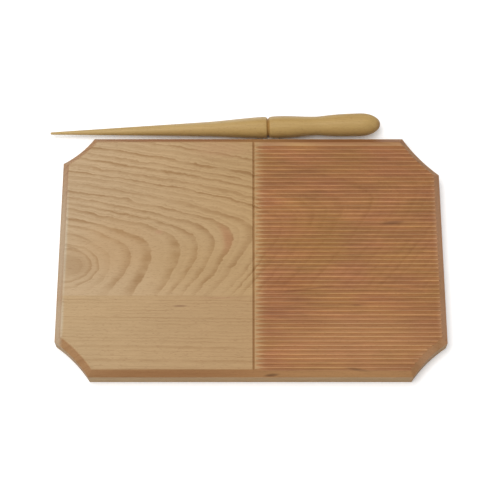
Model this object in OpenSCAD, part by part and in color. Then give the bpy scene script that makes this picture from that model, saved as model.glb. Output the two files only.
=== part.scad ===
// Gnocchi board and rolling stick, in millimetres.
// The board is glued up from two full-length staves. Its left half is plain and its right half is
// ridged, and a cut V line divides them. The stick is turned in one piece and lies loose behind it.
// X runs along the board to the ridged end, Y to the rear and Z up, from the middle of the underside.

/* [Board] */
// Length of the board, left to right
board_l = 300; // [260:1:400]
// Width of the board, front to rear
board_w = 200; // [160:1:280]
// Thickness of the board
board_t = 18; // [12:0.5:30]
// Width of the front stave, from the front edge to the glue line
front_stave_w = 64; // [40:1:100]
// Size of the 45 degree bevel round the top edge
bevel = 5; // [1:0.5:7]
// Size of the small easing round the underside
easing = 0.6; // [0.2:0.1:2]

/* [Clipped corners] */
// Rear right corner, how far the cut runs along the rear edge
rear_right_x = 28; // [20:0.5:40]
// Rear right corner, how far the cut runs along the right end
rear_right_y = 32; // [20:0.5:40]
// Rear left corner, how far the cut runs along the rear edge
rear_left_x = 24; // [20:0.5:40]
// Rear left corner, how far the cut runs along the left end
rear_left_y = 22; // [20:0.5:40]
// Front left corner, how far the cut runs along the front edge
front_left_x = 27; // [20:0.5:40]
// Front left corner, how far the cut runs along the left end
front_left_y = 28; // [20:0.5:40]
// Front right corner, how far the cut runs along the front edge
front_right_x = 27.5; // [20:0.5:40]
// Front right corner, how far the cut runs along the right end
front_right_y = 27; // [20:0.5:40]
// How deep each corner cut is hollowed below its straight line
corner_hollow = 1.8; // [0.5:0.1:4]

/* [Dividing line] */
// Place of the V line, to the right of the middle of the board
divider_x = 2; // [-20:0.5:20]
// Width of the V line at the face
divider_w = 1.8; // [0.8:0.1:3]
// Depth of the V line
divider_depth = 0.9; // [0.4:0.1:3]

/* [Ridges] */
// Spacing of the ridges
ridge_pitch = 3.5; // [2.6:0.1:6]
// Depth of the grooves between the ridges
groove_depth = 0.9; // [0.5:0.1:2]
// Width of the flat on top of a ridge
crest_w = 0.5; // [0.3:0.1:0.9]
// Width of the flat at the bottom of a groove
root_w = 1.1; // [0.1:0.1:1.5]
// Plain strip between the rear bevel and the first groove
plain_strip = 3.4; // [1:0.1:20]
// Plain strip between the V line and the ends of the grooves
divider_strip = 0.5; // [0.2:0.1:10]
// Radius of the cutter that leaves the grooves with rising ends
cutter_r = 60; // [30:1:100]

/* [Stick shank] */
// Length of the tapered shank, from the tip to the ring groove
shank_l = 177; // [140:0.5:220]
// Diameter at the tip
tip_d = 2.1; // [1.5:0.1:6]
// Diameter that the straight taper would reach at the collar
taper_d = 14.9; // [10:0.1:16.5]
// Diameter of the collar, where the shank is thickest
collar_d = 17.3; // [15:0.1:19]
// Length of the flare that swells the taper up to the collar
flare_l = 47; // [30:1:70]
// Length of the rounded shoulder between the collar and the ring groove
shoulder_l = 3.5; // [2:0.5:6]
// Width of the ring groove
ring_w = 2.4; // [1:0.1:4]
// Diameter at the edges of the ring groove
ring_edge_d = 16.4; // [14.2:0.1:17]
// Diameter at the bottom of the ring groove
ring_d = 13.4; // [9:0.1:14]

/* [Stick handle] */
// Length of the handle, from the ring groove to the butt
handle_l = 91; // [80:0.5:120]
// Diameter of the front swell of the handle
swell_d = 17.8; // [17:0.1:20]
// Distance of the front swell from the ring groove
swell_at = 9; // [6:0.5:16]
// Diameter of the waist of the handle
waist_d = 15.3; // [13:0.1:17]
// Distance of the waist from the ring groove
waist_at = 40; // [30:0.5:48]
// Diameter of the belly of the handle
belly_d = 18.5; // [17.5:0.1:24]
// Distance of the belly from the end of the butt
belly_back = 21.5; // [18:0.5:26]
// Length of the rounded butt
butt_l = 16; // [8:0.5:17.5]

/* [Stick resting place] */
// Clear gap between the rear wall of the board and the collar of the stick
stick_gap = 4; // [1:0.1:60]
// Place of the collar, to the right of the middle of the board
stick_x = 9.2; // [-80:0.1:80]
// Angle of the stick to the rear edge, the handle being farther away
stick_yaw = 1.3; // [0:0.1:8]

/* [Hidden] */

$fn = 180;
// How far a cutting shape reaches past the wood
over = 2;

half_l = board_l / 2;
half_w = board_w / 2;
glue_y = front_stave_w - half_w;

groove_w = ridge_pitch - crest_w;
first_groove_y = half_w - bevel - plain_strip - groove_w / 2;
// The last groove may run along the top edge of the front bevel
groove_count = 1 + round((first_groove_y + half_w - bevel) / ridge_pitch);
groove_tip_z = board_t - groove_depth;
cutter_z = groove_tip_z + cutter_r;
runout_l = sqrt(cutter_r * cutter_r - (cutter_r - groove_depth) * (cutter_r - groove_depth));
groove_start_x = divider_x + divider_w / 2 + divider_strip;
full_depth_x = groove_start_x + runout_l;
// Angle through which the cutter is turned for the rising ends, past where it leaves the face
runout_turn = 1.4 * asin(runout_l / cutter_r);

stick_l = shank_l + handle_l;
collar_s = shank_l - ring_w / 2 - shoulder_l;
swell_s = shank_l + swell_at;
belly_s = stick_l - belly_back;
// The stick lies on its collar and on the first swell of the handle that meets the surface
stick_pitch = atan(max(
    (swell_d - collar_d) / 2 / (swell_s - collar_s),
    (belly_d - collar_d) / 2 / (belly_s - collar_s)
));
collar_y = half_w + stick_gap + collar_d / 2;
collar_z = collar_d / 2 * cos(stick_pitch);

// Outline of the board across one direction, bevelled at the top and eased at the bottom
module bevelled_profile(half) {
    polygon([
        [easing - half, 0],
        [half - easing, 0],
        [half, easing],
        [half, board_t - bevel],
        [half - bevel, board_t],
        [bevel - half, board_t],
        [-half, board_t - bevel],
        [-half, easing]
    ]);
}

// Slab as long and as wide as the board, bevelled along its four sides
module bevelled_slab() {
    intersection() {
        rotate([90, 0, 90])
            linear_extrude(board_l + 2 * over, center = true)
                bevelled_profile(half_w);
        rotate([90, 0, 0])
            linear_extrude(board_w + 2 * over, center = true)
                bevelled_profile(half_l);
    }
}

// Round cutter that clips a corner in a shallow hollow and carries the bevel and easing along it.
// side_x and side_y are 1 or -1 and pick the corner, run_x and run_y are the reach of the cut.
module corner_cutter(side_x, side_y, run_x, run_y) {
    chord = sqrt(run_x * run_x + run_y * run_y);
    r = (chord * chord / 4 + corner_hollow * corner_hollow) / (2 * corner_hollow);
    off = (r - corner_hollow) / chord;
    x = half_l - run_x / 2 + run_y * off;
    y = half_w - run_y / 2 + run_x * off;
    translate([side_x * x, side_y * y, 0]) {
        translate([0, 0, -over])
            cylinder(h = board_t + 2 * over, r = r);
        translate([0, 0, board_t - bevel - over])
            cylinder(h = bevel + 2 * over, r1 = r - over, r2 = r + bevel + over);
        translate([0, 0, -over])
            cylinder(h = easing + 2 * over, r1 = r + easing + over, r2 = r - over);
    }
}

// The V line that divides the plain half from the ridged half
module divider_cutter() {
    open_w = divider_w * (1 + over / divider_depth);
    translate([divider_x, 0, board_t])
        rotate([90, 0, 0])
            linear_extrude(board_w + 2 * over, center = true)
                polygon([[0, -divider_depth], [open_w / 2, over], [-open_w / 2, over]]);
}

// Comb of groove shapes as points [place across the board, depth below the face].
// Above the face the comb is one bar, so all the grooves are cut in one pass.
function comb() = concat(
    [[first_groove_y + ridge_pitch, -over]],
    [
        for (i = [0:groove_count - 1])
            let (y = first_groove_y - i * ridge_pitch)
                for (p = [[groove_w, 0], [root_w, groove_depth], [-root_w, groove_depth], [-groove_w, 0]])
                    [y + p[0] / 2, p[1]]
    ],
    [[first_groove_y - groove_count * ridge_pitch, -over]]
);

// Gang cutter: straight grooves out through the right end, and rising ends by the V line
module ridge_cutter() {
    translate([full_depth_x, 0, board_t])
        rotate([90, 0, 90])
            linear_extrude(half_l - full_depth_x + over)
                polygon([for (p = comb()) [p[0], -p[1]]]);
    translate([full_depth_x, 0, cutter_z])
        rotate([-90, 0, 0])
            rotate([0, 0, 90])
                rotate_extrude(angle = runout_turn)
                    polygon([for (p = comb()) [cutter_r - groove_depth + p[1], p[0]]]);
}

// The whole board in one, before it is divided at the glue line
module board() {
    difference() {
        bevelled_slab();
        corner_cutter(1, 1, rear_right_x, rear_right_y);
        corner_cutter(-1, 1, rear_left_x, rear_left_y);
        corner_cutter(-1, -1, front_left_x, front_left_y);
        corner_cutter(1, -1, front_right_x, front_right_y);
        divider_cutter();
        ridge_cutter();
    }
}

// Wide stave with the arched grain, behind the glue line
module rear_stave() {
    color("#b9996f")
        intersection() {
            board();
            translate([-half_l - over, glue_y, -over])
                cube([board_l + 2 * over, board_w, board_t + 2 * over]);
        }
}

// Narrow stave with the straight grain, in front of the glue line
module front_stave() {
    color("#b6996f")
        intersection() {
            board();
            translate([-half_l - over, glue_y - board_w, -over])
                cube([board_l + 2 * over, board_w, board_t + 2 * over]);
        }
}

// Radius of a soft curve between two stations of the stick, t going from 0 to 1
function swell(r0, r1, t) = r0 + (r1 - r0) * (1 - cos(180 * t)) / 2;

// Half outline of the stick as points [radius, distance from the tip]
function stick_outline() = let (
    tip_r = tip_d / 2,
    taper_r = taper_d / 2,
    collar_r = collar_d / 2,
    edge_r = ring_edge_d / 2,
    swell_r = swell_d / 2,
    belly_r = belly_d / 2,
    slope = (taper_r - tip_r) / (collar_s - tip_r),
    flare_s = collar_s - flare_l,
    bead_l = swell_at - ring_w / 2,
    waist_s = shank_l + waist_at,
    butt_s = stick_l - butt_l
) concat(
    [[0, 0]],
    [for (a = [30:30:90]) [tip_r * sin(a), tip_r * (1 - cos(a))]],
    [
        for (i = [0:6])
            let (s = flare_s + flare_l * i / 6)
                [tip_r + slope * (s - tip_r) + swell(0, collar_r - taper_r, i / 6), s]
    ],
    [for (a = [22.5:22.5:90]) [edge_r + (collar_r - edge_r) * cos(a), collar_s + shoulder_l * sin(a)]],
    [[ring_d / 2, shank_l]],
    [for (a = [90:-22.5:0]) [edge_r + (swell_r - edge_r) * cos(a), swell_s - bead_l * sin(a)]],
    [for (i = [1:6]) [swell(swell_r, waist_d / 2, i / 6), swell_s + (waist_s - swell_s) * i / 6]],
    [for (i = [1:8]) [swell(waist_d / 2, belly_r, pow(i / 8, 0.6)), waist_s + (belly_s - waist_s) * i / 8]],
    [for (a = [0:10:80]) [belly_r * cos(a), butt_s + butt_l * sin(a)]],
    [[0, stick_l]]
);

// Turned rolling stick, lying on its collar and its handle
module stick() {
    color("#baa071")
        translate([stick_x, collar_y, collar_z])
            rotate([0, 0, stick_yaw])
                rotate([0, -stick_pitch, 0])
                    translate([-collar_s, 0, 0])
                        rotate([0, 90, 0])
                            rotate_extrude($fn = 96)
                                polygon(stick_outline());
}

rear_stave();
front_stave();
stick();
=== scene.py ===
"""Gnocchi board with its rolling stick: finishes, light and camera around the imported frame.

Sizes are in millimetres and are turned to metres where a mesh is built. X runs along the board to
the ridged end, Y to the rear and Z up, from the middle of the board's underside.
"""

import logging
import math
from dataclasses import dataclass, replace
from enum import Enum

import bmesh
import bpy
from mathutils import Matrix, Vector

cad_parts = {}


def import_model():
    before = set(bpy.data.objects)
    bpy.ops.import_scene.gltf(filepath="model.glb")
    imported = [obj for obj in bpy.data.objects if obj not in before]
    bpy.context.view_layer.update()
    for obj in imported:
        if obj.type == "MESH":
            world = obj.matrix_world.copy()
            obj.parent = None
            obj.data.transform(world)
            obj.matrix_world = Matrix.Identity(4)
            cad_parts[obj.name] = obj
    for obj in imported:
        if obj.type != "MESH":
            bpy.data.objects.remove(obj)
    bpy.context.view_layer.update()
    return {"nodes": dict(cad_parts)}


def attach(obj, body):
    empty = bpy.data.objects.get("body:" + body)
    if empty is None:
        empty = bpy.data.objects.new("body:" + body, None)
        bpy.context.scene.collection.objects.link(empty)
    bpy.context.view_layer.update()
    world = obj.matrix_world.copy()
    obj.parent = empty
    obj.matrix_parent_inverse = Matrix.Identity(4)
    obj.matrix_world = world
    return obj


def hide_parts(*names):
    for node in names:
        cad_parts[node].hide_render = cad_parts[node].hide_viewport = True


MM = 0.001
LOG = logging.getLogger("gnocchi_board")


def linear(code: str) -> tuple[float, float, float, float]:
    """Turn an sRGB hex colour into the linear colour that the shaders take.

    Args:
        code: Six hex digits, such as "b9996f".

    Returns:
        Linear red, green, blue and an alpha of 1.
    """
    parts = [int(code[i : i + 2], 16) / 255 for i in (0, 2, 4)]
    curve = [c / 12.92 if c <= 0.04045 else ((c + 0.055) / 1.055) ** 2.4 for c in parts]
    return (*curve, 1.0)


@dataclass(frozen=True)
class Figure:
    """The size and detail of a mottled pattern in the wood, drawn out along the grain."""

    length_mm: float
    width_mm: float
    detail: float


# Single fibres are some 0.02 mm thick, so they are drawn as bundles coarse enough to show.
FIBRES = Figure(14.0, 0.9, 3.0)
# Rays are dashes 1 to 3 mm long and 0.1 to 0.3 mm wide, drawn a little wider than that.
RAYS = Figure(2.5, 0.35, 0.0)
# Clouds make the whole surface slowly paler and darker, and ring lines fade in smaller patches.
CLOUDS = Figure(90.0, 30.0, 1.0)
FADING = Figure(28.57, 9.09, 2.0)
# On the ridged half crests are sanded paler, bands are darker and blushes are redder.
RUBBED_CRESTS = Figure(35.0, 3.2, 1.0)
BANDS = Figure(60.0, 9.0, 2.0)
BLUSHES = Figure(45.0, 14.0, 2.0)


class Graph:
    """The node tree of one material or of the world."""

    def __init__(self, owner: bpy.types.ID) -> None:
        """Clear the tree of a material or world.

        Args:
            owner: The material or world whose nodes are written.
        """
        owner.use_nodes = True
        self.tree = owner.node_tree
        self.tree.nodes.clear()

    def add(self, kind: str, inputs: dict | None = None, **settings: object) -> bpy.types.NodeOutputs:
        """Add one node, set it up and link it.

        Args:
            kind: The node's type without its ShaderNode prefix.
            inputs: Values or sockets by input name or number.
            settings: Attributes of the node.

        Returns:
            The node's outputs.
        """
        node = self.tree.nodes.new("ShaderNode" + kind)
        for name, value in settings.items():
            setattr(node, name, value)
        for key, value in (inputs or {}).items():
            if isinstance(value, bpy.types.NodeSocket):
                self.tree.links.new(value, node.inputs[key])
            else:
                node.inputs[key].default_value = value
        return node.outputs

    def draw(self, figure: Figure, mm: bpy.types.NodeSocket) -> bpy.types.NodeSocket:
        """Draw a mottled pattern along the grain.

        Args:
            figure: The size and detail of the pattern.
            mm: The place in millimetres.

        Returns:
            The pattern, from about 0 to 1.
        """
        along, across = 1 / figure.length_mm, 1 / figure.width_mm
        at = self.add("VectorMath", {0: mm, 1: (along, across, across)}, operation="MULTIPLY")[0]
        return self.add("TexNoise", {"Vector": at, "Scale": 1.0, "Detail": figure.detail})["Fac"]


class Cut(Enum):
    """How a surface was cut, which decides its tint and how smooth and fibrous it is; the darker tint of
    the bevels and the V line is painted shade.
    """

    SANDED = "sanded"
    RUBBED = "rubbed"
    MOULDED = "moulded"
    MILLED = "milled"
    TURNED = "turned"
    SCORED = "scored"
    NOTCHED = "notched"


@dataclass(frozen=True)
class ToolMark:
    """What a tool leaves on the wood.

    The tint multiplies the wood's colour, the gloss is the strength of its sheen, and the streak
    is how much the fibres vary in tone. The ripple is the spacing of the cutter's marks along the
    grain in millimetres, and ripple and fibre depths are in hundredths of a millimetre.
    """

    tint: str
    roughness: float
    gloss: float
    streak: float
    ripple_mm: float
    ripple_depth: float
    fibre_depth: float


# Sanding leaves the face matt and even, and a rubbed arris is smoother. The bevels are tinted darker
# and redder as painted shade on these sloping faces, and the milling cutter burnishes the grooves
# redder; both cutters leave fine ripples. The lathe leaves close rings. The V line is tinted a little
# darker as painted shade in its narrow groove, and the ring groove is hardly tinted at all.
TOOL_MARKS = {
    Cut.SANDED: ToolMark("ffffff", 0.62, 0.35, 0.07, 0.0, 0.0, 5.0),
    Cut.RUBBED: ToolMark("f8f0e8", 0.55, 0.35, 0.07, 0.0, 0.0, 3.0),
    Cut.MOULDED: ToolMark("ecd6c6", 0.50, 0.35, 0.08, 1.3, 1.2, 5.0),
    Cut.MILLED: ToolMark("ffe5ce", 0.58, 0.35, 0.15, 1.6, 1.0, 6.0),
    Cut.TURNED: ToolMark("ffffff", 0.56, 0.35, 0.05, 0.7, 0.7, 3.0),
    Cut.SCORED: ToolMark("fffef6", 0.60, 0.35, 0.05, 0.0, 0.0, 3.0),
    Cut.NOTCHED: ToolMark("f3ece8", 0.58, 0.35, 0.05, 0.0, 0.0, 3.0),
}


@dataclass(frozen=True)
class Limb:
    """One direction in which the growth rings follow each other across the face.

    The turn is in degrees from X, the weight is how fast the rings come, and they start at x, y.
    """

    turn: float
    weight: float
    x: float
    y: float


@dataclass(frozen=True)
class Eye:
    """The place where the rings close on themselves.

    Within its reach the count of rings grows from inner to outer on top of what the limbs give.
    """

    x: float
    y: float
    reach: float
    inner: float
    outer: float


@dataclass(frozen=True)
class Mark:
    """A small streak, fleck or blush on the wood, or a patch of painted light or painted shade.

    The place is in millimetres, the reach is half its length and half its width, and the bow
    bends its length into a crescent.
    """

    x: float
    y: float
    reach_x: float
    reach_y: float
    turn: float
    colour: str
    strength: float
    z: float = 18.0
    bow: float = 0.0
    reach_z: float = 8.0


@dataclass(frozen=True)
class Beech:
    """Beech, steamed and dried: pale brown, with rings that show as soft darker lines.

    The rings are wide apart where the saw cut them at a flat angle, so the wide stave shows
    arches and the narrow stave straight lines. Short dark dashes are the wood's rays. Colours run
    from sap to heart along X, and late is what the end of a ring's growth does to them.

    The higher the bend, the more sharply one limb turns into the next, and the lean tilts the rings
    with depth. Hairlines fade to hair_front of their strength towards the front, ring lines fade
    over the last seam_fade before the glued edge at seam_y, and ridged_from is where the grooves
    begin.
    """

    name: str
    sap: str
    heart: str
    late: str
    limbs: tuple[Limb, ...]
    ring_mm: float
    ring_strength: float
    unevenness: float
    wander_mm: float
    lean: float
    bend: float = 9.0
    face_z: float = 18.0
    sap_x: float = -150.0
    heart_x: float = 0.0
    hairlines: float = 0.2
    hair_front: float = 1.0
    hairs_per_ring: float = 2.3
    seam_y: float | None = None
    seam_fade: float = 12.0
    eye: Eye | None = None
    ridged_from: float | None = None
    groove_depth: float = 0.9
    ray: str = "8d6440"
    end_tint: str = "e6d2c0"
    yellow_tint: str = "fff6ea"
    red_tint: str = "ffeaf2"
    marks: tuple[Mark, ...] = ()

    def place(self, g: Graph, mm: bpy.types.NodeSocket) -> bpy.types.NodeSocket:
        """Disturb the place on the piece a little, as wood grows.

        Args:
            g: The graph to add nodes to.
            mm: The place in millimetres.

        Returns:
            The disturbed place in millimetres.
        """
        # Broad waves of 80 by 20 mm, ripples of 14 by 8 mm and small jogs of 4 by 2 mm.
        waves = (
            ((0.012, 0.05, 0.05), self.wander_mm),
            ((0.07, 0.13, 0.13), 1.2 * self.wander_mm),
            ((0.25, 0.45, 0.45), 0.6 * self.wander_mm),
        )
        place = mm
        for size, reach in waves:
            drift = g.add("VectorMath", {0: mm, 1: size}, operation="MULTIPLY")[0]
            noise = g.add("TexNoise", {"Vector": drift, "Scale": 1.0, "Detail": 1.0})["Color"]
            centred = g.add("VectorMath", {0: noise, 1: (0.5, 0.5, 0.5)}, operation="SUBTRACT")[0]
            shift = g.add("VectorMath", {0: centred, "Scale": 2 * reach}, operation="SCALE")[0]
            place = g.add("VectorMath", {0: place, 1: shift}, operation="ADD")[0]
        return place

    def rings(self, g: Graph, place: bpy.types.NodeSocket) -> bpy.types.NodeSocket:
        """Count the growth rings out to each point.

        Args:
            g: The graph to add nodes to.
            place: The disturbed place in millimetres.

        Returns:
            The number of rings, with its fraction.
        """
        total = None
        for limb in self.limbs:
            turn = math.radians(limb.turn)
            across = Vector((math.cos(turn), math.sin(turn), -self.lean))
            start = across.dot(Vector((limb.x, limb.y, self.face_z)))
            along = g.add("VectorMath", {0: place, 1: tuple(across)}, operation="DOT_PRODUCT")["Value"]
            out = g.add("Math", {0: along, 1: start}, operation="SUBTRACT")[0]
            kept = g.add("Math", {0: out, 1: 0.0}, operation="MAXIMUM")[0]
            scaled = g.add("Math", {0: kept, 1: limb.weight / self.ring_mm}, operation="MULTIPLY")[0]
            raised = g.add("Math", {0: scaled, 1: self.bend}, operation="POWER")[0]
            total = raised if total is None else g.add("Math", {0: total, 1: raised})[0]
        count = g.add("Math", {0: total, 1: 1 / self.bend}, operation="POWER")[0]
        if self.eye is None:
            return count
        eye = self.eye
        out = g.add("VectorMath", {0: place, 1: (eye.x, eye.y, self.face_z)}, operation="SUBTRACT")[0]
        # The eye is longer than wide and goes deep into the wood.
        squeezed = g.add("VectorMath", {0: out, 1: (0.75, 1.0, 0.3)}, operation="MULTIPLY")[0]
        away = g.add("VectorMath", {0: squeezed}, operation="LENGTH")["Value"]
        more = g.add("MapRange", {0: away, 1: 0.0, 2: eye.reach, 3: eye.inner, 4: eye.outer})[0]
        return g.add("Math", {0: count, 1: more})[0]

    def ring_lines(
        self, g: Graph, count: bpy.types.NodeSocket, mm: bpy.types.NodeSocket
    ) -> bpy.types.NodeSocket:
        """Darken each ring towards its edge, some more than others.

        Args:
            g: The graph to add nodes to.
            count: The number of rings out to the point.
            mm: The place in millimetres.

        Returns:
            The darkness, from 0 to 1.
        """
        uneven = g.add("TexNoise", {"W": count, "Scale": 0.45, "Detail": 0.0}, noise_dimensions="1D")[0]
        phase = g.add("Math", {0: uneven, 1: self.unevenness, 2: count}, operation="MULTIPLY_ADD")[0]
        part = g.add("Math", {0: phase}, operation="FRACT")[0]
        whole = g.add("Math", {0: phase}, operation="FLOOR")[0]
        pick = g.add("TexWhiteNoise", {"W": whole}, noise_dimensions="1D")["Value"]
        # A ring darkens slowly over most of its width and ends in a sharp edge.
        slow = {0: part, 1: 0.35, 2: 0.92, 3: 0.0, 4: 1.0}
        sharp = {0: part, 1: 0.94, 2: 1.0, 3: 1.0, 4: 0.0}
        rise = g.add("MapRange", slow, interpolation_type="SMOOTHSTEP")[0]
        fall = g.add("MapRange", sharp, interpolation_type="SMOOTHSTEP")[0]
        line = g.add("Math", {0: rise, 1: fall}, operation="MULTIPLY")[0]
        faintest = 0.35 * self.ring_strength
        amount = g.add("MapRange", {0: pick, 3: faintest, 4: self.ring_strength})[0]
        drawn = g.add("Math", {0: line, 1: amount}, operation="MULTIPLY")[0]
        # Between the rings lie hairlines, which may fade from 35 mm to 5 mm behind the middle.
        inner = g.add("Math", {0: phase, 1: self.hairs_per_ring}, operation="MULTIPLY")[0]
        inside = g.add("Math", {0: inner}, operation="FRACT")[0]
        faint = g.add("MapRange", {0: inside, 1: 0.4, 2: 0.9, 3: 0.0, 4: self.hairlines})[0]
        across = g.add("SeparateXYZ", {0: mm})[1]
        rear = g.add("MapRange", {0: across, 1: 5.0, 2: 35.0, 3: self.hair_front, 4: 1.0})[0]
        faint = g.add("Math", {0: faint, 1: rear}, operation="MULTIPLY")[0]
        return g.add("Math", {0: drawn, 1: faint}, operation="MAXIMUM")[0]

    def faded(
        self, g: Graph, drawn: bpy.types.NodeSocket, mm: bpy.types.NodeSocket
    ) -> bpy.types.NodeSocket:
        """Let the ring lines fade and come back along their length.

        Args:
            g: The graph to add nodes to.
            drawn: The darkness of the ring lines.
            mm: The place in millimetres.

        Returns:
            The darkness after fading.
        """
        kept = g.add("MapRange", {0: g.draw(FADING, mm), 1: 0.3, 2: 0.7, 3: 0.35, 4: 1.25})[0]
        drawn = g.add("Math", {0: drawn, 1: kept}, operation="MULTIPLY")[0]
        if self.seam_y is not None:
            # Towards the glued edge the arches fade to a quarter.
            across = g.add("SeparateXYZ", {0: mm})[1]
            near = {0: across, 1: self.seam_y, 2: self.seam_y + self.seam_fade, 3: 0.25, 4: 1.0}
            drawn = g.add("Math", {0: drawn, 1: g.add("MapRange", near)[0]}, operation="MULTIPLY")[0]
        if self.eye is not None:
            # From 34 mm to 8 mm round the eye the rings blur into each other.
            middle = (self.eye.x, self.eye.y, self.face_z)
            off = g.add("VectorMath", {0: mm, 1: middle}, operation="DISTANCE")["Value"]
            blur = g.add("MapRange", {0: off, 1: 8.0, 2: 34.0, 3: 0.45, 4: 1.0})[0]
            drawn = g.add("Math", {0: drawn, 1: blur}, operation="MULTIPLY")[0]
        return drawn

    def marked(self, g: Graph, colour: bpy.types.NodeSocket) -> bpy.types.NodeSocket:
        """Lay the marks of this piece over its colour.

        Args:
            g: The graph to add nodes to.
            colour: The colour so far.

        Returns:
            The colour with the marks.
        """
        here = g.add("TexCoord")["Object"]
        for mark in self.marks:
            spot = g.add(
                "Mapping",
                {
                    "Vector": here,
                    "Location": (mark.x * MM, mark.y * MM, mark.z * MM),
                    "Rotation": (0, 0, math.radians(mark.turn)),
                    "Scale": (mark.reach_x * MM, mark.reach_y * MM, mark.reach_z * MM),
                },
                vector_type="TEXTURE",
            )[0]
            if mark.bow:
                parts = g.add("SeparateXYZ", {0: spot})
                square = g.add("Math", {0: parts[0], 1: parts[0]}, operation="MULTIPLY")[0]
                bent = g.add("Math", {0: square, 1: mark.bow, 2: parts[1]}, operation="MULTIPLY_ADD")[0]
                spot = g.add("CombineXYZ", {0: parts[0], 1: bent, 2: parts[2]})[0]
            size = g.add("VectorMath", {0: spot}, operation="LENGTH")["Value"]
            soft = {0: size, 1: 0.2, 2: 1.0, 3: mark.strength, 4: 0.0}
            fade = g.add("MapRange", soft, interpolation_type="SMOOTHSTEP")[0]
            layers = {0: fade, 6: colour, 7: linear(mark.colour)}
            colour = g.add("Mix", layers, data_type="RGBA")[2]
        return colour

    def tinted(
        self, g: Graph, colour: bpy.types.NodeSocket, tint: str | bpy.types.NodeSocket
    ) -> bpy.types.NodeSocket:
        """Multiply a colour by a tint.

        Args:
            g: The graph to add nodes to.
            colour: The colour so far.
            tint: A hex colour or a socket.

        Returns:
            The tinted colour.
        """
        layers = {0: 1.0, 6: colour, 7: linear(tint) if isinstance(tint, str) else tint}
        return g.add("Mix", layers, data_type="RGBA", blend_type="MULTIPLY")[2]

    def ridged_face(
        self, g: Graph, cut: Cut, colour: bpy.types.NodeSocket, mm: bpy.types.NodeSocket
    ) -> tuple[bpy.types.NodeSocket, bpy.types.NodeSocket]:
        """Turn the face of the ridged half a shade redder and mottle it.

        Args:
            g: The graph to add nodes to.
            cut: How the surface was cut.
            colour: The colour so far.
            mm: The place in millimetres.

        Returns:
            How far a point is on the ridged face, from 0 to 1, and the new colour.
        """
        spot = g.add("SeparateXYZ", {0: mm})
        past_line = {0: spot[0], 1: self.ridged_from - 1.0, 2: self.ridged_from + 10.0}
        right = g.add("MapRange", past_line, interpolation_type="SMOOTHSTEP")[0]
        # The walls below the bevel keep the plain colour.
        above = g.add("MapRange", {0: spot[2], 1: 11.0, 2: 13.5})[0]
        right = g.add("Math", {0: right, 1: above}, operation="MULTIPLY")[0]
        # Sanding paled the crests here and there, and hardly touched the grooves.
        reach = 0.2 if cut is Cut.SANDED else 0.08
        rub = g.draw(RUBBED_CRESTS, mm)
        paled = g.add("MapRange", {0: rub, 1: 0.3, 2: 0.7, 3: 1 - reach, 4: 1 + reach})[0]
        banded = g.add("MapRange", {0: g.draw(BANDS, mm), 1: 0.3, 2: 0.7, 3: 0.92, 4: 1.08})[0]
        paled = g.add("Math", {0: paled, 1: banded}, operation="MULTIPLY")[0]
        warm = g.add("MapRange", {0: g.draw(BLUSHES, mm), 1: 0.35, 2: 0.65})[0]
        tones = {0: warm, 6: linear(self.yellow_tint), 7: linear(self.red_tint)}
        shade = g.add("Mix", tones, data_type="RGBA")[2]
        red = g.add("VectorMath", {0: self.tinted(g, colour, shade), "Scale": paled}, operation="SCALE")[0]
        return right, g.add("Mix", {0: right, 6: colour, 7: red}, data_type="RGBA")[2]

    def figured(self, g: Graph, cut: Cut, mm: bpy.types.NodeSocket) -> bpy.types.NodeSocket:
        """Give the wood's colour with its rings, marks, rays and end grain.

        Args:
            g: The graph to add nodes to.
            cut: How the surface was cut.
            mm: The place in millimetres.

        Returns:
            The colour before the tool's tint.
        """
        along = g.add("SeparateXYZ", {0: mm})[0]
        heartwood = g.add("MapRange", {0: along, 1: self.sap_x, 2: self.heart_x})[0]
        ground = {0: heartwood, 6: linear(self.sap), 7: linear(self.heart)}
        colour = g.add("Mix", ground, data_type="RGBA")[2]
        count = self.rings(g, self.place(g, mm))
        lines = self.faded(g, self.ring_lines(g, count, mm), mm)
        if self.ridged_from is not None and cut in (Cut.SANDED, Cut.MILLED):
            ridged, colour = self.ridged_face(g, cut, colour, mm)
            hidden = g.add("MapRange", {0: ridged, 3: 1.0, 4: 0.3})[0]
            lines = g.add("Math", {0: lines, 1: hidden}, operation="MULTIPLY")[0]
        late = self.tinted(g, colour, self.late)
        colour = g.add("Mix", {0: lines, 6: colour, 7: late}, data_type="RGBA")[2]
        colour = self.marked(g, colour)
        dash = g.add("MapRange", {0: g.draw(RAYS, mm), 1: 0.66, 2: 0.76, 3: 0.0, 4: 0.35})[0]
        colour = g.add("Mix", {0: dash, 6: colour, 7: linear(self.ray)}, data_type="RGBA")[2]
        # End grain drinks in light: it is darker and redder where the surface faces along X.
        facing = g.add("SeparateXYZ", {0: g.add("TexCoord")["Normal"]})[0]
        ended = g.add("Math", {0: facing}, operation="ABSOLUTE")[0]
        turned = {0: ended, 1: 0.45, 2: 1.0, 3: 0.0, 4: 1.0}
        end = g.add("MapRange", turned, interpolation_type="SMOOTHSTEP")[0]
        ends = self.tinted(g, colour, self.end_tint)
        return g.add("Mix", {0: end, 6: colour, 7: ends}, data_type="RGBA")[2]

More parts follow.
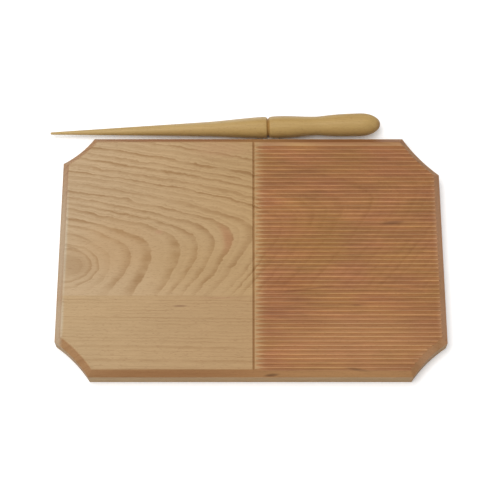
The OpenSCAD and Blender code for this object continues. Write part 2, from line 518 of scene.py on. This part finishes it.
    def toned(
        self,
        g: Graph,
        cut: Cut,
        colour: bpy.types.NodeSocket,
        fibre: bpy.types.NodeSocket,
        mm: bpy.types.NodeSocket,
    ) -> bpy.types.NodeSocket:
        """Lay the tool's tint and the tone of the fibres over the wood's colour.

        Args:
            g: The graph to add nodes to.
            cut: How the surface was cut.
            colour: The wood's colour.
            fibre: The pattern of the fibres.
            mm: The place in millimetres.

        Returns:
            The finished colour.
        """
        tool = TOOL_MARKS[cut]
        tone = g.add("MapRange", {0: fibre, 1: 0.2, 2: 0.8, 3: 1 - tool.streak, 4: 1 + tool.streak})[0]
        cloud = g.add("MapRange", {0: g.draw(CLOUDS, mm), 1: 0.2, 2: 0.8, 3: 0.96, 4: 1.04})[0]
        level = g.add("Math", {0: tone, 1: cloud}, operation="MULTIPLY")[0]
        tint = self.tinted(g, colour, tool.tint)
        if cut is Cut.MILLED:
            spot = g.add("SeparateXYZ", {0: mm})
            # Where the grooves rise to the V line the cutter hardly rubbed, and they are pale.
            begun = self.ridged_from + 1.0
            settled = g.add("MapRange", {0: spot[0], 1: begun, 2: begun + 10.0, 3: 0.8, 4: 1.0})[0]
            tint = g.add("Mix", {0: settled, 6: colour, 7: tint}, data_type="RGBA")[2]
            # Painted shade: a groove is drawn darker the deeper it goes, down to 0.7 at its root.
            root_z = self.face_z - self.groove_depth
            up = g.add("MapRange", {0: spot[2], 1: root_z, 2: self.face_z, 3: 0.7, 4: 1.0})[0]
            level = g.add("Math", {0: level, 1: up}, operation="MULTIPLY")[0]
        return g.add("VectorMath", {0: tint, "Scale": level}, operation="SCALE")[0]

    def relief(
        self, g: Graph, tool: ToolMark, fibre: bpy.types.NodeSocket, mm: bpy.types.NodeSocket
    ) -> bpy.types.NodeSocket:
        """Raise the fibres and the ripples of the cutter.

        Args:
            g: The graph to add nodes to.
            tool: What the tool leaves on the wood.
            fibre: The pattern of the fibres.
            mm: The place in millimetres.

        Returns:
            The disturbed normal.
        """
        hundredth = 0.01 * MM
        raised = {"Height": fibre, "Strength": 1.0, "Distance": tool.fibre_depth * hundredth}
        bump = g.add("Bump", raised)[0]
        if not tool.ripple_mm:
            return bump
        along = g.add("SeparateXYZ", {0: mm})[0]
        turns = g.add("Math", {0: along, 1: math.tau / tool.ripple_mm}, operation="MULTIPLY")[0]
        wave = g.add("Math", {0: turns}, operation="SINE")[0]
        depth = tool.ripple_depth * hundredth
        return g.add("Bump", {"Height": wave, "Strength": 1.0, "Distance": depth, "Normal": bump})[0]

    def build(self, cut: Cut) -> bpy.types.Material:
        """Write the material of this wood under one kind of cut.

        Args:
            cut: How the surface was cut.

        Returns:
            The finished material.
        """
        tool = TOOL_MARKS[cut]
        material = bpy.data.materials.new(f"{self.name}_{cut.value}")
        g = Graph(material)
        here = g.add("TexCoord")["Object"]
        mm = g.add("VectorMath", {0: here, "Scale": 1 / MM}, operation="SCALE")[0]
        fibre = g.draw(FIBRES, mm)
        colour = self.toned(g, cut, self.figured(g, cut, mm), fibre, mm)
        # Raised fibres are a little more polished than the hollows between them.
        smooth, dull = tool.roughness - 0.05, tool.roughness + 0.07
        shader = g.add(
            "BsdfPrincipled",
            {
                "Base Color": colour,
                "Roughness": g.add("MapRange", {0: fibre, 1: 0.2, 2: 0.8, 3: dull, 4: smooth})[0],
                "Specular IOR Level": tool.gloss,
                "Normal": self.relief(g, tool, fibre, mm),
            },
        )[0]
        g.add("OutputMaterial", {"Surface": shader})
        return material


class Arris(Enum):
    """The sharp edges that are rubbed down, with the width of the rounding in millimetres."""

    UNDERSIDE = 0.2
    UPRIGHT = 0.8
    SHOULDER = 0.7
    MITRE = 0.5
    BRINK = 0.45


@dataclass
class Stave:
    """One stave of the board, milled as the frame gives it, with its sharp arrises rubbed down.

    Corners nearer than weld are merged, and triangles that turn by less than flat_turn degrees are
    joined. Places nearer than touch count as one, a face within skin of a level is on it, and one
    within slack of the bevel's plane is on the bevel. Of the last four, flat and lean are how
    upright a face's normal is on the underside and at least on the bevel, end_on is how far a
    groove's face may look along X, and below_shoulder is how far the bevel's rounding reaches
    under the shoulder.
    """

    name: str
    node: str
    wood: Beech
    face_z: float = 18.0
    root_z: float = 17.1
    shoulder_z: float = 13.0
    easing: float = 0.6
    half_w: float = 100.0
    bevel: float = 5.0
    glue_y: float = -36.0
    line_x: float = 2.0
    line_w: float = 1.8
    turn_limit: float = 25.0
    shortest: float = 0.5
    weld: float = 0.001
    flat_turn: float = 0.3
    touch: float = 0.01
    skin: float = 0.05
    slack: float = 0.2
    segments: int = 3
    flat: float = 0.9
    lean: float = 0.1
    end_on: float = 0.3
    below_shoulder: float = 0.4

    def blank(self, source: bpy.types.Object) -> bmesh.types.BMesh:
        """Copy the milled stave and merge its loose triangles into faces.

        Args:
            source: The frame's object for this stave.

        Returns:
            A closed mesh.
        """
        bm = bmesh.new()
        bm.from_mesh(source.data)
        bmesh.ops.remove_doubles(bm, verts=bm.verts, dist=self.weld * MM)
        limit = math.radians(self.flat_turn)
        bmesh.ops.dissolve_limit(bm, angle_limit=limit, verts=bm.verts, edges=bm.edges)
        return bm

    def kind(self, edge: bmesh.types.BMEdge) -> Arris | None:
        """Tell which arris an edge belongs to.

        Args:
            edge: An edge of the blank.

        Returns:
            The arris, or None where the edge stays sharp.
        """
        if len(edge.link_faces) != 2 or math.degrees(edge.calc_face_angle()) < self.turn_limit:
            return None
        a, b = (v.co / MM for v in edge.verts)
        if abs(a.y - self.glue_y) < self.touch and abs(b.y - self.glue_y) < self.touch:
            return None
        low, high = sorted((a.z, b.z))
        if high < self.easing + self.touch:
            return Arris.UNDERSIDE
        if low > self.shoulder_z - self.touch and high < self.shoulder_z + self.touch:
            return Arris.SHOULDER
        if high < self.shoulder_z + self.touch:
            return Arris.UPRIGHT
        if low < self.shoulder_z + self.touch:
            return Arris.MITRE if high > self.face_z - self.touch else None
        line_left = self.line_x - self.line_w / 2
        plain = max(a.x, b.x) < line_left + self.touch
        rear = min(a.y, b.y) > self.half_w - self.bevel - self.touch
        long = abs(a.x - b.x) + abs(a.y - b.y) > self.shortest
        if low > self.face_z - self.touch and (plain or rear) and long:
            along_line = abs(a.x - line_left) < self.touch and abs(b.x - line_left) < self.touch
            return None if along_line else Arris.BRINK
        return None

    def cut_of(self, face: bmesh.types.BMFace) -> Cut:
        """Tell how a face of the stave was cut.

        Args:
            face: A face of the finished mesh.

        Returns:
            The kind of cut.
        """
        low = min(v.co.z for v in face.verts) / MM
        middle = face.calc_center_median() / MM
        if low > self.face_z - self.skin or face.normal.z < -self.flat:
            return Cut.SANDED
        if low > self.root_z - self.skin:
            if abs(middle.x - self.line_x) < self.line_w / 2:
                return Cut.NOTCHED
            # A flank or root of a groove runs along X. The bevel is the plane where y + z is constant.
            on_bevel = abs(middle.y) + middle.z > self.half_w + self.shoulder_z - self.slack
            if abs(face.normal.x) < self.end_on and not on_bevel:
                return Cut.MILLED
        # What is left above the shoulder and leans is the bevel, and the rest are the walls.
        moulded = low > self.shoulder_z - self.below_shoulder and abs(face.normal.z) > self.lean
        return Cut.MOULDED if moulded else Cut.SANDED

    def rub(self, bm: bmesh.types.BMesh) -> set[int]:
        """Rub down the sharp arrises, one kind after another.

        Args:
            bm: The blank, which is changed.

        Returns:
            The numbers of the rubbed faces.
        """
        rubbed: list[bmesh.types.BMFace] = []
        for arris in Arris:
            edges = [e for e in bm.edges if self.kind(e) is arris]
            if not edges:
                continue
            made = bmesh.ops.bevel(
                bm,
                geom=edges,
                offset=arris.value * MM,
                offset_type="OFFSET",
                segments=self.segments,
                profile=0.5,
                affect="EDGES",
                clamp_overlap=True,
                material=-1,
            )
            rubbed = [f for f in rubbed if f.is_valid] + made["faces"]
        bm.faces.ensure_lookup_table()
        bm.faces.index_update()
        return {face.index for face in rubbed}

    def build(self, source: bpy.types.Object) -> bpy.types.Object:
        """Rub down the arrises, dress every face and put the stave in the place of its node.

        Args:
            source: The frame's object for this stave.

        Returns:
            The finished stave.
        """
        bm = self.blank(source)
        worn = self.rub(bm)
        cuts = (Cut.SANDED, Cut.RUBBED, Cut.MOULDED, Cut.MILLED, Cut.NOTCHED)
        for face in bm.faces:
            cut = Cut.RUBBED if face.index in worn else self.cut_of(face)
            face.material_index = cuts.index(cut)
            face.smooth = True
        for edge in bm.edges:
            turn = math.degrees(edge.calc_face_angle(math.pi))
            edge.smooth = turn < self.turn_limit
        mesh = bpy.data.meshes.new(self.name)
        bm.to_mesh(mesh)
        bm.free()
        piece = bpy.data.objects.new(self.name, mesh)
        bpy.context.collection.objects.link(piece)
        for cut in cuts:
            mesh.materials.append(self.wood.build(cut))
        evened = piece.modifiers.new("even_shading", "WEIGHTED_NORMAL")
        evened.keep_sharp = True
        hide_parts(self.node)
        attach(piece, "board")
        LOG.info("%s: %d faces, %d of them rubbed arrises", self.name, len(mesh.polygons), len(worn))
        return piece


@dataclass
class RollingStick:
    """The loose stick, turned in one piece: taper, collar, ring groove, waisted handle and butt.

    Lengths run from the tip. A belly_rush below 1 lets the handle swell soon after its waist,
    sanded is what sandpaper takes off the radius, and around is the number of steps in a turn.
    """

    name: str
    node: str
    wood: Beech
    shank_l: float = 177.0
    tip_d: float = 2.1
    taper_d: float = 14.9
    collar_d: float = 17.3
    flare_l: float = 47.0
    shoulder_l: float = 3.5
    ring_w: float = 2.4
    ring_edge_d: float = 16.4
    ring_d: float = 13.4
    handle_l: float = 91.0
    swell_d: float = 17.8
    swell_at: float = 9.0
    waist_d: float = 15.3
    waist_at: float = 40.0
    belly_d: float = 18.5
    belly_back: float = 21.5
    belly_rush: float = 0.6
    butt_l: float = 16.0
    board_half_w: float = 100.0
    gap: float = 4.0
    collar_x: float = 9.2
    yaw: float = 1.3
    sanded: float = 0.03
    around: int = 72
    weld: float = 0.0001
    turn_limit: float = 25.0

    @staticmethod
    def steps(count: int) -> list[float]:
        """Give the even parts of a stretch, from the first past its start to 1 at its end."""
        return [i / count for i in range(1, count + 1)]

    @staticmethod
    def ease(first: float, second: float, part: float) -> float:
        """Give a soft curve from one value to another as part goes from 0 to 1."""
        return first + (second - first) * (1 - math.cos(math.pi * part)) / 2

    def outline(self) -> list[tuple[float, float]]:
        """Give half the stick's outline.

        Returns:
            Pairs of radius and distance from the tip, in millimetres.
        """
        tip = self.tip_d / 2
        taper = self.taper_d / 2
        collar = self.collar_d / 2
        edge = self.ring_edge_d / 2
        swell = self.swell_d / 2
        waist = self.waist_d / 2
        belly = self.belly_d / 2
        length = self.shank_l + self.handle_l
        collar_s = self.shank_l - self.ring_w / 2 - self.shoulder_l
        slope = (taper - tip) / (collar_s - tip)
        flare_s = collar_s - self.flare_l
        swell_s = self.shank_l + self.swell_at
        bead_l = self.swell_at - self.ring_w / 2
        waist_s = self.shank_l + self.waist_at
        belly_s = length - self.belly_back
        butt_s = length - self.butt_l
        points = [(0.0, 0.0)]
        # Round tip, straight taper, flare to the collar and its rounded shoulder.
        for part in self.steps(6):
            turn = part * math.pi / 2
            points.append((tip * math.sin(turn), tip * (1 - math.cos(turn))))
        for part in self.steps(12):
            s = tip + (flare_s - tip) * part
            points.append((tip + slope * (s - tip), s))
        for part in self.steps(16):
            s = flare_s + self.flare_l * part
            points.append((tip + slope * (s - tip) + self.ease(0, collar - taper, part), s))
        for part in self.steps(8):
            turn = part * math.pi / 2
            s = collar_s + self.shoulder_l * math.sin(turn)
            points.append((edge + (collar - edge) * math.cos(turn), s))
        # Bottom and far edge of the ring groove, then bead, waist, belly and butt of the handle.
        points.append((self.ring_d / 2, self.shank_l))
        points.append((edge, swell_s - bead_l))
        for part in self.steps(8):
            turn = (1 - part) * math.pi / 2
            points.append((edge + (swell - edge) * math.cos(turn), swell_s - bead_l * math.sin(turn)))
        for part in self.steps(12):
            points.append((self.ease(swell, waist, part), swell_s + (waist_s - swell_s) * part))
        for part in self.steps(18):
            s = waist_s + (belly_s - waist_s) * part
            points.append((self.ease(waist, belly, part**self.belly_rush), s))
        points.append((belly, butt_s))
        for part in self.steps(18):
            turn = part * math.pi / 2
            points.append((belly * math.cos(turn), butt_s + self.butt_l * math.sin(turn)))
        return [(max(0.0, r - self.sanded), s) for r, s in points]

    def pose(self) -> Matrix:
        """Lay the stick, drawn along X from its tip, on the table behind the board.

        Returns:
            The matrix from the drawing to its place, in millimetres.
        """
        collar_s = self.shank_l - self.ring_w / 2 - self.shoulder_l
        to_swell = (self.swell_d - self.collar_d) / 2 / (self.shank_l + self.swell_at - collar_s)
        belly_s = self.shank_l + self.handle_l - self.belly_back
        to_belly = (self.belly_d - self.collar_d) / 2 / (belly_s - collar_s)
        pitch = math.atan(max(to_swell, to_belly))
        rest = Vector((
            self.collar_x,
            self.board_half_w + self.gap + self.collar_d / 2,
            self.collar_d / 2 * math.cos(pitch),
        ))
        return (
            Matrix.Translation(rest)
            @ Matrix.Rotation(math.radians(self.yaw), 4, "Z")
            @ Matrix.Rotation(-pitch, 4, "Y")
            @ Matrix.Translation((-collar_s, 0, 0))
        )

    def build(self) -> bpy.types.Object:
        """Turn the stick, dress it and put it in the place of its node.

        Returns:
            The finished stick.
        """
        bm = bmesh.new()
        verts = [bm.verts.new((s, 0.0, r)) for r, s in self.outline()]
        edges = [bm.edges.new(pair) for pair in zip(verts, verts[1:])]
        bmesh.ops.spin(
            bm,
            geom=verts + edges,
            cent=(0, 0, 0),
            axis=(1, 0, 0),
            dvec=(0, 0, 0),
            angle=math.tau,
            steps=self.around,
            use_merge=True,
            use_duplicate=False,
        )
        bmesh.ops.remove_doubles(bm, verts=bm.verts, dist=self.weld)
        bmesh.ops.recalc_face_normals(bm, faces=bm.faces)
        for face in bm.faces:
            middle = face.calc_center_median().x
            face.material_index = int(abs(middle - self.shank_l) < self.ring_w / 2)
            face.smooth = True
        for edge in bm.edges:
            edge.smooth = math.degrees(edge.calc_face_angle(0.0)) < self.turn_limit
        bmesh.ops.transform(bm, matrix=Matrix.Scale(MM, 4) @ self.pose(), verts=bm.verts)
        mesh = bpy.data.meshes.new(self.name)
        bm.to_mesh(mesh)
        bm.free()
        mesh.materials.append(self.wood.build(Cut.TURNED))
        mesh.materials.append(self.wood.build(Cut.SCORED))
        piece = bpy.data.objects.new(self.name, mesh)
        bpy.context.collection.objects.link(piece)
        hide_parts(self.node)
        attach(piece, "stick")
        LOG.info("%s: %d faces", self.name, len(mesh.polygons))
        return piece


@dataclass
class Studio:
    """Plain pale floor, soft light and the camera at the photograph's angle.

    The camera's sizes are in millimetres, degrees and pixels, and all the others in metres.
    """

    target: tuple[float, float, float] = (-0.765, 8.916, 0.0)
    elevation: float = 68.195
    distance: float = 1159.7
    focal_px: float = 1465.07
    picture_px: int = 500
    sensor: float = 36.0
    sight: float = 20.0
    floor_half: float = 3.0
    paper: str = "fafafa"
    paper_glow: float = 0.26
    gap_at: tuple[float, float, float] = (-0.005, 0.103, 0.0)
    gap_reach: tuple[float, float, float] = (0.17, 0.012, 1.0)
    lamp_at: tuple[float, float, float] = (-0.45, 0.03, 1.9)
    lamp_size: tuple[float, float] = (1.6, 1.2)
    lamp_watts: float = 30.0
    sky: float = 0.36

    def camera(self) -> None:
        """Place the camera and make it the scene's."""
        data = bpy.data.cameras.new("camera")
        data.sensor_width = self.sensor
        data.lens = self.focal_px / self.picture_px * self.sensor
        data.clip_end = self.sight
        camera = bpy.data.objects.new("camera", data)
        lift = math.radians(self.elevation)
        back = Vector((0.0, -math.cos(lift), math.sin(lift)))
        camera.location = (Vector(self.target) + self.distance * back) * MM
        camera.rotation_euler = back.to_track_quat("Z", "Y").to_euler()
        bpy.context.collection.objects.link(camera)
        bpy.context.scene.camera = camera

    def floor(self) -> None:
        """Lay the white paper floor, which glows a little away from the object."""
        mesh = bpy.data.meshes.new("floor")
        bm = bmesh.new()
        bmesh.ops.create_grid(bm, x_segments=1, y_segments=1, size=self.floor_half)
        bm.to_mesh(mesh)
        bm.free()
        floor = bpy.data.objects.new("floor", mesh)
        bpy.context.collection.objects.link(floor)
        paper = bpy.data.materials.new("white_paper_backdrop")
        g = Graph(paper)
        matt = g.add("BsdfDiffuse", {"Color": linear(self.paper)})[0]
        # The narrow gap between board and stick gets none of the glow and stays dark.
        here = g.add("TexCoord")["Object"]
        place = {"Vector": here, "Location": self.gap_at, "Scale": self.gap_reach}
        gap = g.add("Mapping", place, vector_type="TEXTURE")[0]
        away = g.add("VectorMath", {0: gap}, operation="LENGTH")["Value"]
        level = g.add("MapRange", {0: away, 1: 0.5, 2: 1.0, 3: 0.0, 4: self.paper_glow})[0]
        glow = g.add("Emission", {"Color": linear("ffffff"), "Strength": level})[0]
        both = g.add("AddShader", {0: matt, 1: glow})[0]
        rays = g.add("LightPath")
        seen = g.add("MixShader", {0: rays["Is Camera Ray"], 1: matt, 2: both})[0]
        g.add("OutputMaterial", {"Surface": seen})
        mesh.materials.append(paper)

    def light(self) -> None:
        """Hang a large soft light overhead and to the left, under an even white sky."""
        data = bpy.data.lights.new("softbox", "AREA")
        data.shape = "RECTANGLE"
        data.size, data.size_y = self.lamp_size
        data.energy = self.lamp_watts
        lamp = bpy.data.objects.new("softbox", data)
        lamp.location = self.lamp_at
        lamp.rotation_euler = Vector(self.lamp_at).to_track_quat("Z", "Y").to_euler()
        bpy.context.collection.objects.link(lamp)
        world = bpy.data.worlds.new("sky")
        bpy.context.scene.world = world
        g = Graph(world)
        sky = g.add("Background", {"Color": linear("ffffff"), "Strength": self.sky})[0]
        white = g.add("Background", {"Color": linear("ffffff"), "Strength": 1.0})[0]
        rays = g.add("LightPath")
        seen = g.add("MixShader", {0: rays["Is Camera Ray"], 1: sky, 2: white})[0]
        g.add("OutputWorld", {"Surface": seen})


# The saw met the rings of the wide stave at a flat angle: broad arches with sharp outer edges, warm
# ground inside them, and an eye at the left end. Its ridged half is a shade darker and redder.
WIDE_BEECH = Beech(
    name="beech_wide_stave",
    sap="bea27e",
    heart="b79567",
    late="d8c9b4",
    limbs=(
        Limb(82.0, 1.25, -115.0, -2.0),
        Limb(74.0, 1.0, -125.0, -5.0),
        Limb(64.0, 0.6, -158.0, -15.0),
        Limb(-10.0, 0.42, -158.0, 2.0),
        Limb(-40.0, 1.05, -84.0, 8.0),
        Limb(-46.0, 0.42, -184.0, -14.0),
    ),
    ring_mm=7.3,
    ring_strength=1.25,
    unevenness=0.9,
    wander_mm=1.3,
    lean=0.7,
    hairlines=0.42,
    hair_front=0.3,
    seam_y=-36.0,
    eye=Eye(-138.0, -13.0, reach=24.0, inner=-1.4, outer=1.7),
    ridged_from=2.7,
    marks=(
        # Warmer ground inside the arches and by the rear edge.
        Mark(-48.0, -8.0, 48.0, 30.0, 0.0, "b08d5c", 0.35),
        Mark(-104.0, 4.0, 48.0, 34.0, 0.0, "b89060", 0.35),
        Mark(-24.0, 89.0, 34.0, 11.0, 0.0, "b98c66", 0.35),
        # Rear bevel of the plain half painted darker as painted shade, right bevel painted paler as
        # painted light, and the darker rear of the ridged half.
        Mark(-65.0, 98.5, 88.0, 4.5, 0.0, "a0704a", 0.75, z=15.5),
        Mark(148.0, 20.0, 7.0, 90.0, 0.0, "cbab8a", 0.8, z=15.5),
        Mark(75.0, 72.0, 95.0, 36.0, 0.0, "9c6f48", 0.2, z=17.0),
        # The eye, two arcs over it, and the reddish crescent in the last arch.
        Mark(-137.0, -11.0, 21.0, 14.0, -10.0, "9c7a52", 0.5),
        Mark(-134.0, 13.0, 17.0, 1.6, -20.0, "9a764c", 0.55, bow=1.5),
        Mark(-138.0, 3.0, 13.0, 1.4, -22.0, "9a764c", 0.5, bow=1.5),
        Mark(-18.0, 12.0, 17.0, 6.0, 100.0, "ad7c54", 0.7, bow=-1.4),
        # Left bevel painted pale as painted light, and a blush on the plain half.
        Mark(-148.0, 5.0, 6.0, 100.0, 0.0, "d1cdb9", 1.0, z=15.5),
        Mark(-72.0, 17.0, 4.5, 3.0, 0.0, "b98767", 0.35),
        # Dark streak, rear strip, yellower zone, slanting line and redder zone on the ridged half.
        Mark(111.0, 25.0, 13.0, 2.0, 6.0, "7d5a43", 0.6, z=17.6),
        Mark(75.0, 96.5, 95.0, 6.0, 0.0, "976740", 0.9),
        Mark(47.0, 10.0, 38.0, 34.0, 0.0, "b08a4e", 0.35, z=17.0),
        Mark(40.0, -31.0, 36.0, 1.6, 7.0, "8b5c3c", 0.5, z=17.5),
        Mark(30.0, -26.0, 26.0, 8.0, 5.0, "a5683f", 0.3, z=17.5),
    ),
)

# The rings of the narrow stave stand nearly upright, so its grain is straight, fine and quiet.
NARROW_BEECH = replace(
    WIDE_BEECH,
    name="beech_narrow_stave",
    sap="ba9c73",
    heart="b49165",
    limbs=(Limb(89.2, 1.0, 0.0, -180.0),),
    ring_mm=2.9,
    ring_strength=0.6,
    unevenness=1.2,
    wander_mm=0.7,
    lean=0.3,
    hairlines=0.15,
    hair_front=1.0,
    seam_y=None,
    eye=None,
    marks=(
        # Dark fleck on the plain half, then the left bevel painted pale as painted light and the left of
        # the front bevel painted darker as painted shade.
        Mark(-54.4, -44.5, 8.0, 1.2, 1.0, "8b6747", 0.8),
        Mark(-148.0, -55.0, 6.0, 40.0, 0.0, "d1cdb9", 1.0, z=15.5),
        Mark(-65.0, -98.0, 90.0, 5.0, 0.0, "a07a4e", 0.6, z=15.0),
        # Right bevel and front corner painted paler as painted light.
        Mark(148.0, -55.0, 7.0, 40.0, 0.0, "cbab8a", 0.8, z=15.5),
        Mark(137.0, -88.0, 16.0, 16.0, 0.0, "cbab8a", 0.7, z=15.5),
        # Two dark flecks on the front bevel.
        Mark(15.8, -98.6, 8.0, 1.3, 4.0, "553620", 1.0, z=14.5),
        Mark(82.5, -95.6, 14.0, 1.4, -8.0, "5f4028", 1.0, z=16.5),
        # Redder zone and streak on the ridged half, and a line along the glued edge.
        Mark(46.0, -60.0, 24.0, 8.0, 0.0, "a5683f", 0.35, z=17.5),
        Mark(81.0, -43.5, 6.0, 1.4, 0.0, "8b5c3c", 0.5, z=17.5),
        Mark(-25.0, -38.0, 26.0, 1.0, 0.0, "a87a58", 0.4),
        # Right of the front bevel painted paler as painted light, and the paler front of the ridged half.
        Mark(75.0, -98.0, 90.0, 4.5, 0.0, "bd9b6c", 0.9, z=15.0),
        Mark(80.0, -72.0, 95.0, 36.0, 0.0, "cba476", 0.55, z=17.0),
    ),
)

# The stick is a paler, yellower piece of beech with straight grain, and a band along its upper rear side
# is painted paler still as a painted highlight.
STICK_BEECH = Beech(
    name="beech_stick",
    sap="c1a46d",
    heart="bd9c60",
    late="dccbb0",
    limbs=(Limb(89.6, 1.0, 0.0, 40.0),),
    ring_mm=2.4,
    ring_strength=0.6,
    unevenness=1.1,
    wander_mm=0.6,
    lean=0.55,
    face_z=9.0,
    # Painted highlight: a pale band along the stick's upper rear side.
    marks=(Mark(-12.0, 118.0, 190.0, 6.0, 1.3, "d4c09e", 0.6, z=12.0),),
)


def main() -> None:
    """Build every piece in order and set up the studio."""
    logging.basicConfig(level=logging.INFO, format="%(message)s")
    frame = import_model()
    Stave("wide_stave", "rear_stave", WIDE_BEECH).build(frame["nodes"]["rear_stave"])
    Stave("narrow_stave", "front_stave", NARROW_BEECH).build(frame["nodes"]["front_stave"])
    RollingStick("rolling_stick", "stick", STICK_BEECH).build()
    studio = Studio()
    studio.camera()
    studio.floor()
    studio.light()
    bpy.context.scene.view_settings.view_transform = "Standard"


if __name__ == "__main__":
    main()
